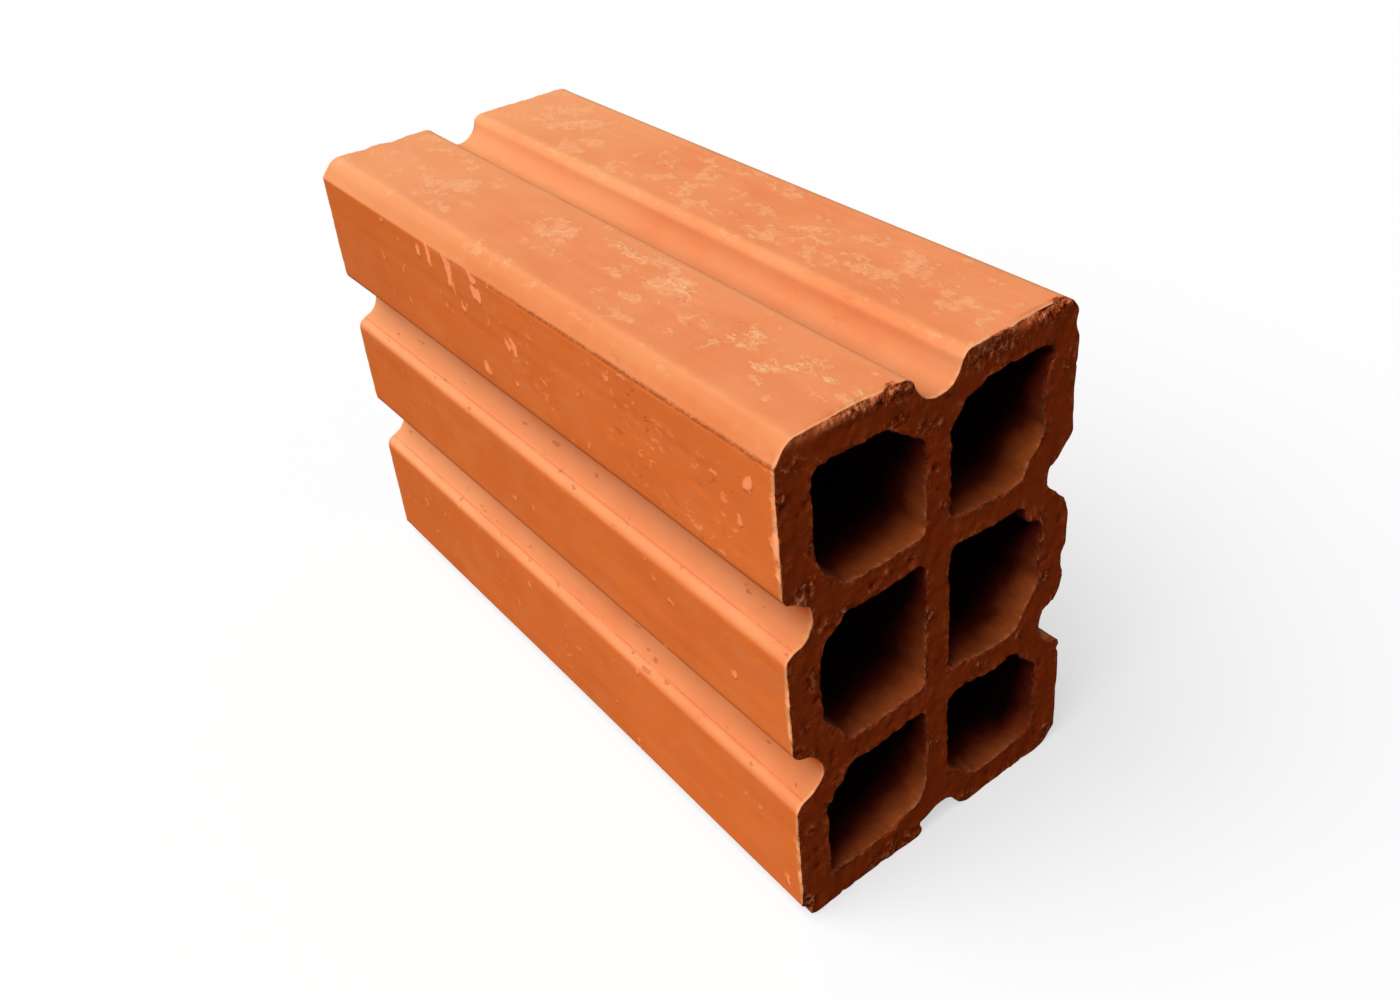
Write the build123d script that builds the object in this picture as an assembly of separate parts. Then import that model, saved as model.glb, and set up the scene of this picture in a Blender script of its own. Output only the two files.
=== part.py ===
from build123d import *
from math import atan2, hypot, tan
import os

# A six-cell hollow clay brick: one fired piece, extruded through a die and cut off by wire.
# Millimetres. X runs along the brick, Y across it and Z up. The origin is the middle of
# the narrow face that the brick stands on.

# Overall size of the fired brick
length = 200.0
width = 85.0
height = 130.0

# Walls of the extruded section
wall = 9.0
web = 7.5
middle_row_height = 35.0

# The four long corners are short bevels: a crisp crease on the wide side and a soft blend
# into the narrow face
corner_reach = 3.7
corner_drop = 4.6
corner_crease_radius = 1.0
corner_blend_radius = 5.0

# The mortar groove: one profile for all six, nearly half round. Its flanks are steep, its
# lips are soft, and its two roots leave only a narrow flat in the middle of the floor. Floor
# and mouth are measured between sharp corners.
groove_depth = 7.2
groove_floor = 9.1
groove_mouth = 14.3
groove_flat = 0.4
lip_radius = 3.4

# The cells: plain corners are small radii, and a corner that a groove bites towards is cut off
# in a flat, so that the clay stays even round the groove. Each flat has a reach along the
# grooved wall and a drop away from it.
cell_radius = 2.5
flat_radius = 3.0
side_flat_reach = 9.5
side_flat_drop = 7.5
edge_flat_reach = 10.5
edge_flat_drop = 7.5

# Places worked out from the sizes above
half_width = width / 2
cell_inner = web / 2
cell_outer = half_width - wall
outer_row_height = (height - 2 * wall - 2 * web - middle_row_height) / 2
row_heights = [outer_row_height, middle_row_height, outer_row_height]
row_floors = [
    wall,
    wall + outer_row_height + web,
    wall + outer_row_height + web + middle_row_height + web,
]
web_levels = [row_floor - web / 2 for row_floor in row_floors[1:]]

# The groove's roots are as round as its floor allows, and its lips no rounder than what the
# roots leave of its flanks
flank_run = (groove_mouth - groove_floor) / 2
flank_length = hypot(groove_depth, flank_run)
half_turn = atan2(groove_depth, flank_run) / 2
root_reach = (groove_floor - groove_flat) / 2
root_radius = root_reach / tan(half_turn)
lip_reach = min(lip_radius * tan(half_turn), 0.9 * (flank_length - root_reach))
fitted_lip_radius = lip_reach / tan(half_turn)


def groove_corners(mouth_centre, along, inward):
    """Lip, root, root and lip of one groove, in the order met when walking along the side."""
    return [
        mouth_centre - along * (groove_mouth / 2),
        mouth_centre - along * (groove_floor / 2) + inward * groove_depth,
        mouth_centre + along * (groove_floor / 2) + inward * groove_depth,
        mouth_centre + along * (groove_mouth / 2),
    ]


def grooved_side(start, end, groove_places, corner_inset, corner_radius):
    """Points and radii of one side, walked with the clay on the left hand.

    The side begins and ends where the bevels of its two corners meet it, and has a groove
    at each place, a distance from its start.
    """
    along = (end - start).normalized()
    inward = along.rotate(Axis.Z, 90)
    points = [start + along * corner_inset]
    radii = [corner_radius]
    for place in groove_places:
        points += groove_corners(start + along * place, along, inward)
        radii += [fitted_lip_radius, root_radius, root_radius, fitted_lip_radius]
    points.append(end - along * corner_inset)
    radii.append(corner_radius)
    return points, radii


def outer_outline():
    """The brick's outline, walked anticlockwise from the foot of its -Y side."""
    left_foot, right_foot = Vector(-half_width, 0), Vector(half_width, 0)
    left_head, right_head = Vector(-half_width, height), Vector(half_width, height)
    levels_from_head = [height - level for level in reversed(web_levels)]
    narrow = ([half_width], corner_reach, corner_blend_radius)
    sides = [
        grooved_side(left_foot, right_foot, *narrow),
        grooved_side(right_foot, right_head, web_levels, corner_drop, corner_crease_radius),
        grooved_side(right_head, left_head, *narrow),
        grooved_side(left_head, left_foot, levels_from_head, corner_drop, corner_crease_radius),
    ]
    points = [point for side_points, _ in sides for point in side_points]
    radii = [radius for _, side_radii in sides for radius in side_radii]
    return make_face(FilletPolyline(*points, radius=radii, close=True))


def cell_corner(corner, into_y, into_z, flat):
    """One corner of a cell: a point, or the two ends of the flat that cuts the corner off."""
    if flat is None:
        return [corner], [cell_radius]
    flat_y, flat_z = flat
    ends = [corner + Vector(0, into_z * flat_z), corner + Vector(into_y * flat_y, 0)]
    if into_y * into_z < 0:
        ends.reverse()
    return ends, [flat_radius, flat_radius]


def cell_outline(side, row):
    """One cell, on the +Y or -Y side, with a flat at each corner that a groove bites towards."""
    side_flat = (side_flat_drop, side_flat_reach)
    edge_flat = (edge_flat_reach, edge_flat_drop)
    low = row_floors[row]
    high = low + row_heights[row]
    lowest, highest = row == 0, row == len(row_floors) - 1

    # Anticlockwise in the +Y column: inner low, outer low, outer high, inner high
    corners = [
        cell_corner(Vector(cell_inner, low), 1, 1, edge_flat if lowest else None),
        cell_corner(Vector(cell_outer, low), -1, 1, None if lowest else side_flat),
        cell_corner(Vector(cell_outer, high), -1, -1, None if highest else side_flat),
        cell_corner(Vector(cell_inner, high), 1, -1, edge_flat if highest else None),
    ]
    points = [Vector(side * point.X, point.Y) for ends, _ in corners for point in ends]
    radii = [radius for _, corner_radii in corners for radius in corner_radii]
    return make_face(FilletPolyline(*points, radius=radii, close=True))


def brick():
    """The section, extruded half a length each way from the middle."""
    section = outer_outline()
    for side in (-1, 1):
        for row in range(len(row_floors)):
            section -= cell_outline(side, row)
    return extrude(Plane.YZ * section, amount=length / 2, both=True)


os.makedirs("parts", exist_ok=True)
body = brick()
body.label = "brick"
export_step(body, "parts/brick.step")
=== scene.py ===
"""Looks of a fired six-cell hollow clay brick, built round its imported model.

The brick stands on its narrow face: X runs along it, Y across it, Z up, in metres.
The body is one surface without a gap: the extruded skin, the walls of the six cells and the
two cut ends, with the waves, drag lines, crumbled edges, pits and grains of a wire-cut brick.
"""
import itertools
import math

import bpy
import numpy as np
from bpy.props import FloatProperty, FloatVectorProperty, IntProperty, PointerProperty
from mathutils import Matrix, Vector
from mathutils.geometry import delaunay_2d_cdt


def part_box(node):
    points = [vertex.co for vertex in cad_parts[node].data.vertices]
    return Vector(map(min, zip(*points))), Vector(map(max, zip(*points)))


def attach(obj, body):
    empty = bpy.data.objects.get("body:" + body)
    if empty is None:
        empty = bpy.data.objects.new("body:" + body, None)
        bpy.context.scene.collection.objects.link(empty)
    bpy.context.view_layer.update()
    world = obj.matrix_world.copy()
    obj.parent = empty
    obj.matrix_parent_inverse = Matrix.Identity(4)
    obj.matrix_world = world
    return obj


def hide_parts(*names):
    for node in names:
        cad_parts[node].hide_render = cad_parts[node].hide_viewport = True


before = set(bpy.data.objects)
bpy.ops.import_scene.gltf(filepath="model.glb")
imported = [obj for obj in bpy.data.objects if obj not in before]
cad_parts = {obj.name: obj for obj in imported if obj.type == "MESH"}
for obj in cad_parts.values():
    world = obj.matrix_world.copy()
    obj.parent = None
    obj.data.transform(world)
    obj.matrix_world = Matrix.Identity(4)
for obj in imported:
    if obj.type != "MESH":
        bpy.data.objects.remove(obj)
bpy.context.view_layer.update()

bl_info = {
    "name": "Hollow clay brick",
    "version": (1, 0, 0),
    "blender": (4, 5, 0),
    "location": "3D View > Sidebar > Clay brick",
    "description": "Builds a fired six-cell hollow clay brick with its cut ends, wear and clay",
    "category": "Add Mesh",
}

MM = 0.001
NODE = "brick"
BOX_LOW, BOX_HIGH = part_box(NODE)
BRICK_LENGTH, BRICK_WIDTH, BRICK_HEIGHT = BOX_HIGH - BOX_LOW

# How far from the edge of a cut end its raggedness fades to about a third
RIM_FADE = 1.1 * MM


def length_property(name, description, default):
    """A size in metres that the sidebar shows as a length."""
    return FloatProperty(name=name, description=description, default=default, min=0, unit="LENGTH")


def angle_property(name, description, degrees):
    """An angle that the sidebar shows in degrees."""
    angle = math.radians(degrees)
    return FloatProperty(name=name, description=description, default=angle, subtype="ANGLE")


def number_property(name, description, default):
    """A plain number."""
    return FloatProperty(name=name, description=description, default=default)


def colour_property(name, description, default):
    """A linear colour."""
    return FloatVectorProperty(
        name=name, description=description, default=default, subtype="COLOR", size=3, min=0, max=1
    )


class BrickSection(bpy.types.PropertyGroup):
    """Length of the brick and sizes of its extruded section."""

    length: length_property("Length", "From one cut end to the other", BRICK_LENGTH)
    width: length_property("Width", "Across the two wide sides", BRICK_WIDTH)
    height: length_property("Height", "Between the two narrow faces", BRICK_HEIGHT)
    wall: length_property("Wall", "Thickness of the outer walls", 9 * MM)
    web: length_property("Web", "Thickness of the webs between cells", 7.5 * MM)
    middle_row: length_property("Middle row", "Height of the middle row of cells", 35 * MM)
    corner_reach: length_property("Corner reach", "A bevel's reach on the narrow face", 3.7 * MM)
    corner_drop: length_property("Corner drop", "A bevel's reach on the wide side", 4.6 * MM)
    crease_radius: length_property("Crease", "Radius of the bevel's edge on the side", 1 * MM)
    blend_radius: length_property("Blend", "Radius of the bevel's edge on the narrow face", 5 * MM)
    groove_depth: length_property("Groove depth", "Depth of a mortar groove", 7.2 * MM)
    groove_floor: length_property("Groove floor", "Width of a groove's floor", 9.1 * MM)
    groove_mouth: length_property("Groove mouth", "Width of a groove at the face", 14.3 * MM)
    groove_flat: length_property("Groove flat", "Flat left between a groove's roots", 0.4 * MM)
    lip_radius: length_property("Groove lip", "Radius of a groove's lips", 3.4 * MM)
    cell_radius: length_property("Cell corner", "Radius of a cell's plain corners", 2.5 * MM)
    flat_radius: length_property("Flat corner", "Radius at the ends of a cell's flats", 3 * MM)
    side_flat_reach: length_property("Side flat reach", "Along the grooved side wall", 9.5 * MM)
    side_flat_drop: length_property("Side flat drop", "Away from the side wall", 7.5 * MM)
    edge_flat_reach: length_property("Edge flat reach", "Along the grooved narrow wall", 10.5 * MM)
    edge_flat_drop: length_property("Edge flat drop", "Away from the narrow wall", 7.5 * MM)


class BrickRelief(bpy.types.PropertyGroup):
    """How worn and how finely drawn the surface is."""

    skin_room: length_property("Skin room", "Clay kept back under the skin's relief", 0.06 * MM)
    end_room: length_property("End room", "Clay kept back under the ends' relief", 0.12 * MM)
    rim_radius: length_property("Rim radius", "Rounding of the edges at the cut ends", 0.25 * MM)
    skin_step: length_property("Skin step", "Mesh step along the flats of the skin", 1.0 * MM)
    arc_step: length_property("Arc step", "Mesh step along the skin's rounded parts", 0.6 * MM)
    cell_step: length_property("Cell step", "Mesh step round a cell", 0.8 * MM)
    cut_step: length_property("Cut step", "Mesh step over a cut end", 0.85 * MM)
    fine_station: length_property("Fine station", "Shortest step along the brick", 0.45 * MM)
    skin_station: length_property("Skin station", "Longest step along the skin", 3.4 * MM)
    cell_station: length_property("Cell station", "Longest step along a cell", 20 * MM)
    skin_growth: number_property("Skin growth", "Each step along the skin over the last", 1.15)
    cell_growth: number_property("Cell growth", "Each step along a cell over the last", 1.5)
    wave_height: length_property("Waves", "Height of the drying waves", 0.10 * MM)
    drag_height: length_property("Drag lines", "Height of the die's drag lines", 0.05 * MM)
    rim_height: length_property("Ragged rims", "Raggedness of the edges at the cut ends", 0.55 * MM)
    torn_height: length_property("Torn clay", "Relief of the wire-cut clay", 0.14 * MM)
    crumb_height: length_property("Crumbs", "Relief of the clusters of grains", 0.45 * MM)
    pit_depth: length_property("Torn pits", "Depth of the pits in the wire-cut clay", 1.0 * MM)
    seed: IntProperty(name="Seed", description="Start of the random numbers", default=17)


class BrickColours(bpy.types.PropertyGroup):
    """Fired clay in its several states, and the painted light and shade on it."""

    side: colour_property("Side clay", "Skin of the wide sides", (0.855, 0.184, 0.034))
    near: colour_property("Near side clay", "Skin of the wide sides at +X", (0.985, 0.216, 0.040))
    top: colour_property("Top clay", "Dusted skin of faces that look up", (0.88, 0.30, 0.122))
    # The top groove's colour is darker than the top's: painted shade in the groove.
    hollow: colour_property("Top groove", "Groove of the face that looks up", (0.74, 0.275, 0.115))
    root: colour_property("Groove roots", "Hollow roots of the other grooves", (0.82, 0.295, 0.118))
    # The lip colour is partly rubbed wear and partly a painted highlight: it goes only on lips that
    # face up.
    lip: colour_property("Lip clay", "Rubbed lips and creases", (0.94, 0.385, 0.165))
    pale: colour_property("Pale dust", "Scuffs and dusty patches", (0.98, 0.47, 0.22))
    smear: colour_property("Smears", "Strokes of slip on the wide sides", (0.96, 0.29, 0.115))
    # The dark drag colour serves real drag lines, nicks and gouges, and also paints shade along the
    # bevel's crease, under down-facing lips and beside the +Y rims.
    stain_and_shade: colour_property("Dark drag", "Lines and hollows that the die left", (0.45, 0.085, 0.02))
    # The cut clay is darker and redder than the skin: partly its own tone, partly painted shade of
    # the end that faces away from the lamp.
    cut: colour_property("Cut clay", "Wire-cut clay of the ends", (0.50, 0.060, 0.005))
    crumb: colour_property("Crumbled clay", "Broken edges", (0.68, 0.235, 0.11))
    fleck: colour_property("Flecks", "Grains that stand out of the cut clay", (0.97, 0.33, 0.14))
    # These three paint a cell's light and shade: clay dimmed as at a cell's mouth, painted shade
    # where the light fails, and painted black deep inside.
    cell: colour_property("Cell mouth", "Clay of a cell at its mouth", (0.46, 0.098, 0.020))
    shade: colour_property("Cell shade", "A cell where the light fails", (0.15, 0.013, 0.005))
    deep_cell_shade: colour_property("Deep clay", "Cells away from their mouths", (0.012, 0.002, 0.001))
    bevel: colour_property("Bevel", "Long corners under the narrow face", (0.72, 0.225, 0.075))
    blotch: colour_property("Blotches", "Darker patches of the skin", (0.72, 0.135, 0.026))
    worn: colour_property("Worn cut", "Cut clay under the upper edge", (0.80, 0.215, 0.080))


class StudioSet(bpy.types.PropertyGroup):
    """Camera, lamp and floor."""

    camera_place: FloatVectorProperty(
        name="Camera place", description="Where the camera stands", size=3, subtype="TRANSLATION",
        unit="LENGTH", default=(0.25996, -0.16415, 0.26570),
    )
    heading: angle_property("Heading", "Compass turn of the view from +X", 144.31)
    tilt: angle_property("Tilt", "How far the view looks down", 31.20)
    roll: angle_property("Roll", "Lean of the camera about its own view", 4.83)
    lens: number_property("Lens", "Focal length in millimetres", 34.94)
    sensor: number_property("Sensor", "Sensor width in millimetres", 36)
    shift: FloatVectorProperty(
        name="Shift", description="Shift of the frame, in frame widths", size=2,
        default=(-0.025, -0.0821),
    )
    lamp_from: FloatVectorProperty(
        name="Lamp side", description="Direction that the soft lamp shines from", size=3,
        subtype="DIRECTION", default=(-0.10, -0.53, 0.84),
    )
    lamp_strength: number_property("Lamp", "Strength of the lamp", 3.3)
    lamp_spread: angle_property("Softness", "Angle that the soft lamp fills", 60)
    fill_strength: number_property("Fill", "Light from all round", 0.10)
    floor_radius: length_property("Floor radius", "Size of the floor", 4.0)


# Places of wear, in millimetres, in the brick's own frame: the near end is the one at +X, the
# side is the one at -Y, and the top is the narrow face that looks up.
NEAR_END, SIDE_FACE, TOP_FACE = 100, -42.5, 130

# A push moves the clay round a place: place, reach each way, shift.
PUSHES = [
    # Webs that sagged
    ((100, 20, 86.3), (150, 18, 14), (0, 0, -1.3)),
    ((100, 20, 43.7), (150, 18, 16), (0, 0, -2.0)),
    ((100, -18, 43.7), (150, 16, 14), (0, 0, -0.8)),
    ((100, -18, 86.3), (150, 16, 14), (0, 0, -0.6)),
    # Cells that are a little out of shape
    ((100, -31, 95.5), (60, 6, 7), (0, -0.5, -0.9)),
    ((100, 33, 108), (60, 4, 12), (0, -2.0, 0)),
    ((100, 30, 93), (60, 7, 6), (0, -1.5, -0.5)),
    ((100, 8, 117), (50, 6, 4), (0, -0.8, 1.2)),
    ((100, 34, 119.5), (30, 4, 4), (0, 1.2, -0.8)),
    ((100, 30, 51), (60, 6, 6), (0, -0.8, -1.0)),
    ((100, 33.5, 64), (50, 3.5, 12), (0, -1.3, 0)),
    ((100, 30, 35), (60, 6, 6), (0, -0.8, 0)),
    ((100, -31, 76.5), (50, 5, 5), (0, -0.7, 1.4)),
    ((100, 29, 78), (40, 5, 5), (0, -1.0, -1.5)),
    ((100, -7, 13), (50, 7, 6), (0, 1.2, -1.8)),
    ((100, 7, 15), (60, 6, 5), (0, 0.4, -1.0)),
    ((100, 10.5, 12.5), (60, 4, 4.5), (0, -0.4, -1.9)),
    ((100, 32, 10.5), (60, 6, 5), (0, -0.3, 1.3)),
    ((100, 18, 9.5), (50, 16, 5), (0, 0, -1.1)),
    # The groove that it stands over
    ((100, 0, 7), (60, 7, 5), (0, 0.8, -1.4)),
    ((100, -4, 6), (60, 3.5, 4), (0, 0.4, -0.9)),
    ((100, -8, 0.5), (50, 5.5, 5.5), (0, 2.4, -0.3)),
    ((100, -38, 0.5), (60, 4, 3), (0, -1.4, 0)),
    ((100, 8, 1.5), (50, 4, 4), (0, 0.8, 0.3)),
    # The +Y side's grooves and strips
    ((100, 36, 86), (60, 5, 9), (0, -0.8, -0.5)),
    ((100, 37, 92), (60, 4.5, 4.5), (0, 0, -2.2)),
    ((100, 41, 78), (70, 6, 6), (0, -0.9, -1.8)),
    ((100, 42.5, 58.5), (8, 3, 6), (0, -1.2, 0)),
    ((100, 41.5, 51), (8, 4, 5), (0, -1.8, -2.8)),
    ((100, 37.5, 49.5), (9, 4.5, 4), (0, 0, -1.8)),
    ((100, 36, 42), (70, 5, 8), (0, -0.7, -1.4)),
    ((100, 40, 36), (70, 6, 6), (0, -0.8, -2.2)),
    ((97, 38.5, 38.5), (60, 5, 5), (0, -1.3, -1.8)),
    ((101, 38.5, 38.5), (3, 5, 5), (0, 1.3, 1.8)),
    ((100, 42.5, 123), (30, 4, 5), (0, -1.2, 0)),
    ((100, 43, 106), (40, 4, 14), (0, -0.6, 0)),
    # The -Y side's grooves
    ((100, -41, 94.5), (60, 5, 4), (0, 0, -0.8)),
    ((100, -37.5, 91.5), (60, 4, 4), (0, 0.2, -1.1)),
    ((100, -35, 43), (60, 5, 6), (0, 0.7, -0.5)),
    # Edges worn back at the near end
    ((100, -24, 130.5), (3.2, 24, 3.0), (-1.2, 0, -0.4)),
    ((100, 30, 130.5), (3.4, 15, 3.4), (-1.4, 0, -0.6)),
]

# A scoop is where clay has broken away: centre and radii of the ellipsoid that is missing.
SCOOPS = [
    ((103, 34, 131.5), (5.0, 9, 5.8)),
    ((102.5, -13.5, 131), (4.2, 7.5, 4.4)),
    ((101.3, -26, 131.2), (2.7, 14, 2.8)),
    ((101.2, 17, 131.0), (2.4, 9, 2.4)),
    ((101, -43, 28.4), (2.2, 1.6, 1.8)),
    ((101.1, -36.5, 95.2), (1.9, 3.4, 1.6)),
    ((101.2, -41, 3.5), (2.4, 2.6, 4.0)),
    ((101, -11, 47.6), (1.9, 2.2, 1.9)),
    ((101, -26, 82.9), (1.8, 4.0, 1.5)),
    ((101, -12, 121.6), (1.8, 5.0, 1.5)),
    ((100.8, 42.8, 30.5), (1.8, 1.6, 1.8)),
    ((-101, 41, 3), (3, 4, 4)),
    ((-101, -20, 130.8), (2.4, 5, 2.0)),
    ((-101, 43.5, 101), (2.4, 2.2, 5)),
    ((-101.2, 14, -0.8), (2.6, 6, 2.4)),
]

# A pit is a small hole: place, radius, depth.
PITS = [
    ((100, -0.8, 105.4), 1.2, 1.5), ((100, -18.7, 84.9), 1.0, 1.2), ((100, -7.8, 85.4), 0.9, 1.1),
    ((100, -3.6, 67.2), 1.0, 0.9), ((100, -36.5, 70.6), 0.8, 1.2), ((100, -36.6, 68.4), 0.8, 1.2),
    ((100, -38.3, 59.4), 0.9, 1.1), ((100, -31.5, 46.0), 0.8, 1.2), ((100, -31.5, 43.8), 0.8, 1.2),
    ((100, -14.6, 43.0), 0.8, 1.0), ((100, -24.6, 41.6), 0.7, 1.0), ((100, -33.3, 83.0), 0.7, 1.0),
    ((5, -42.5, 126), 1.3, 0.8), ((68, -42.5, 126), 0.9, 0.7), ((81, -42.0, 127), 0.9, 0.7),
    ((84, -42.3, 126.5), 0.8, 0.6), ((42.5, -18.4, 130), 0.8, 0.8),
    ((40.6, -42.5, 118.4), 1.6, 0.5), ((75, -42.5, 109), 1.4, 0.4),
]

# A cluster is where grains stand out of the +X end's cut clay: its middle in Y and Z, and
# its reach each way.
CLUSTERS = [
    ((-40.7, 117.2), (2.2, 3.0)), ((-38, 124), (3.5, 2.0)), ((-21, 128.6), (9, 2.0)),
    ((-9.5, 127.5), (4.0, 3.0)), ((-3.2, 117.4), (3.2, 1.8)), ((0.3, 116), (1.8, 1.6)),
    ((-0.7, 105.4), (2.0, 1.8)), ((1.8, 95), (2.0, 1.6)), ((-34.4, 103), (1.6, 2.4)),
    ((-37, 93), (3.6, 3.2)), ((-8, 86), (2.2, 1.6)), ((-14.4, 86.6), (1.6, 1.2)),
    ((-18.4, 84.8), (1.8, 1.2)), ((-31, 82), (3.0, 1.8)), ((-2.9, 67), (3.0, 1.8)),
    ((-36, 70), (1.6, 3.2)), ((-38.6, 58.5), (2.2, 1.8)), ((-40.3, 52.7), (2.0, 1.4)),
    ((-36, 49.8), (1.4, 1.6)), ((-1.3, 27.5), (2.4, 2.0)), ((-38.6, 27.5), (1.8, 2.2)),
    ((-40.7, 4.8), (2.4, 4.0)), ((-15, 3.0), (8, 2.6)), ((10, 2.2), (3.0, 1.8)),
    ((38.6, 4.8), (3.0, 3.6)), ((17, 126.5), (12, 4.0)), ((33, 128.6), (8, 3.4)),
    ((39, 114), (2.2, 3.6)), ((31.9, 116), (2.0, 2.2)), ((31.4, 98.2), (2.4, 2.0)),
    ((31.5, 76), (3.4, 3.4)), ((33, 68.7), (2.4, 2.6)), ((35.5, 57), (2.6, 2.6)),
    ((13.3, 43.8), (3.4, 1.8)), ((27.5, 44.8), (2.2, 1.6)), ((25, 10), (6, 1.4)),
]

# A smear is a patch of pale strokes on the -Y side: its place and its reach in X and Z, and
# its strength.
SMEARS = [
    ((-68, 121.5), (5, 4), 0.8), ((-50, 120), (6, 4), 0.8), ((-36.5, 121.5), (5, 7), 1.3),
    ((-34.5, 114), (5, 4), 1.0), ((-26, 121), (5, 8), 1.3), ((-20.5, 114), (6, 6), 1.1),
    ((-12.5, 119), (7, 5), 1.2), ((-32.8, 103.4), (5, 3), 0.9), ((-13, 99.5), (8, 4), 1.2),
    ((2, 111), (7, 5), 1.2), ((92, 118), (5, 4), 0.9), ((95, 10), (4, 7), 0.9),
    ((100, 111), (4.5, 20), 1.15), ((100, 66), (3.0, 18), 0.95), ((100, 20), (3.0, 22), 0.95),
    ((-42, 122.5), (6, 4), 1.1), ((-14, 124), (9, 2.5), 0.9), ((-57, 122), (6, 3), 0.9),
    ((-25, 125.0), (50, 2.4), 0.7),
]

# A scuff is a patch of pale dust on the narrow face that looks up: its place and its reach
# in X and Y, and its strength.
SCUFFS = [
    # Left of the face's groove
    ((-62, -22), (36, 17), 0.55), ((-9, -21), (16, 11), 0.9), ((11, -14), (18, 3.5), 1.4),
    ((36, -17), (17, 9), 1.1), ((50, -29.5), (9, 4), 0.9), ((64, -20), (10, 8), 1.2),
    ((80, -20), (14, 9), 1.0), ((75, -25.5), (5, 2.2), 1.6), ((82, -21.5), (5, 2.2), 1.6),
    ((89, -19), (6, 1.8), 1.6), ((96, -18), (5, 1.6), 1.6), ((92, -23), (9, 6), 0.9),
    # And right of it
    ((-67, 25), (30, 14), 0.8), ((-10, 22), (26, 14), 0.4), ((2, 33), (14, 8), 0.5),
    ((52, 20), (34, 15), 0.5), ((88, 22), (14, 17), 0.6),
]


def quintic(share):
    """An ease from 0 to 1 with flat ends: 6 t^5 - 15 t^4 + 10 t^3."""
    return share * share * share * (share * (share * 6 - 15) + 10)


def cell_numbers(cells, seed):
    """One number from -1 to 1 for each whole-number cell: a hash of its three numbers."""
    x, y, z = (cells[..., axis].astype(np.uint32) for axis in range(3))
    mixed = x * np.uint32(0x8DA6B343) ^ y * np.uint32(0xD8163841) ^ z * np.uint32(0xCB1AB31F)
    mixed = mixed + np.uint32(seed * 0x9E3779B1 % 2**32)
    mixed = (mixed ^ mixed >> np.uint32(15)) * np.uint32(0x2C1B3C6D)
    mixed = (mixed ^ mixed >> np.uint32(12)) * np.uint32(0x297A2D39)
    mixed = mixed ^ mixed >> np.uint32(15)
    return mixed / 2.0**31 - 1


def noise(places, sizes, seed):
    """Value noise: the numbers of a cell's eight corners, blended by eased distances."""
    scaled = places / np.asarray(sizes, float)
    low = np.floor(scaled).astype(np.int64)
    share = quintic(scaled - low)
    total = np.zeros(len(places))
    for corner in itertools.product((0, 1), repeat=3):
        weight = np.prod(np.where(corner, share, 1 - share), axis=-1)
        total += weight * cell_numbers(low + corner, seed)
    return total


def layered_noise(places, sizes, seed, layers=3):
    """Noise on noise: each layer is half as large and half as strong as the one before."""
    sizes = np.asarray(sizes, float)
    return sum(noise(places, sizes / 2**k, seed + 31 * k) / 2**k for k in range(layers))


def rounded_outline(corners, radii, flat_step, arc_step):
    """Points of a closed outline, their normals and their bend, with each corner rounded.

    An arc is tangent to both sides of its corner, so it starts radius * tan(turn / 2) before
    it, and its points turn evenly about its centre. The straight runs between the arcs are
    divided evenly. The clay is on the walker's left, and the normals point to the right. The
    bend is 1 on an arc that stands out, -1 on a hollow one, and fades over the points beside.
    """
    corners = np.asarray(corners, float)
    onward = np.roll(corners, -1, axis=0) - corners
    run = np.hypot(onward[:, 0], onward[:, 1])
    heading = np.arctan2(onward[:, 1], onward[:, 0])
    before = np.roll(heading, 1)
    turn = (heading - before + np.pi) % (2 * np.pi) - np.pi
    trim = np.asarray(radii) * np.tan(np.abs(turn) / 2)

    def right_of(angle):
        return np.stack([np.sin(angle), -np.cos(angle)], axis=-1)

    points, normals, bends = [], [], []
    for i, corner in enumerate(corners):
        reach = math.copysign(radii[i], turn[i])
        start = corner - trim[i] * np.array([math.cos(before[i]), math.sin(before[i])])
        centre = start - reach * right_of(before[i])
        count = max(2, math.ceil(abs(reach * turn[i]) / arc_step)) + 1
        arc = right_of(before[i] + turn[i] * np.linspace(0, 1, count))
        points.append(centre + reach * arc)
        normals.append(arc)
        bends.append(np.full(count, math.copysign(1, turn[i])))

        after = (i + 1) % len(corners)
        flat = run[i] - trim[i] - trim[after]
        pieces = max(1, math.ceil(flat / flat_step))
        along = np.linspace(0, flat, pieces + 1)[1:-1, None]
        ahead = np.array([math.cos(heading[i]), math.sin(heading[i])])
        points.append(points[-1][-1] + along * ahead)
        normals.append(np.repeat(right_of(heading[i])[None], len(along), axis=0))
        bends.append(np.zeros(len(along)))
    bend = np.concatenate(bends)
    for _ in range(2):
        bend = (np.roll(bend, 1) + 2 * bend + np.roll(bend, -1)) / 4
    return np.concatenate(points), np.concatenate(normals), bend


def row_spans(section):
    """Lowest and highest level of each row of cells, from the foot up."""
    outer = (section.height - 2 * section.wall - 2 * section.web - section.middle_row) / 2
    heights = [outer, section.middle_row, outer]
    floors = [section.wall + sum(heights[:row]) + row * section.web for row in range(3)]
    return [(low, low + height) for low, height in zip(floors, heights)]


def groove_radii(section, flank_share=0.9):
    """Radii of a groove's lips and roots: the roots take all of its floor but the flat.

    An arc of radius r that turns by an angle a reaches r * tan(a / 2) along both its sides. The
    lips take at most their share of what the roots leave of the flanks.
    """
    run = (section.groove_mouth - section.groove_floor) / 2
    half_turn = math.atan2(section.groove_depth, run) / 2
    root_reach = (section.groove_floor - section.groove_flat) / 2
    left = math.hypot(section.groove_depth, run) - root_reach
    lip_reach = min(section.lip_radius * math.tan(half_turn), flank_share * left)
    return lip_reach / math.tan(half_turn), root_reach / math.tan(half_turn)


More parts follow.
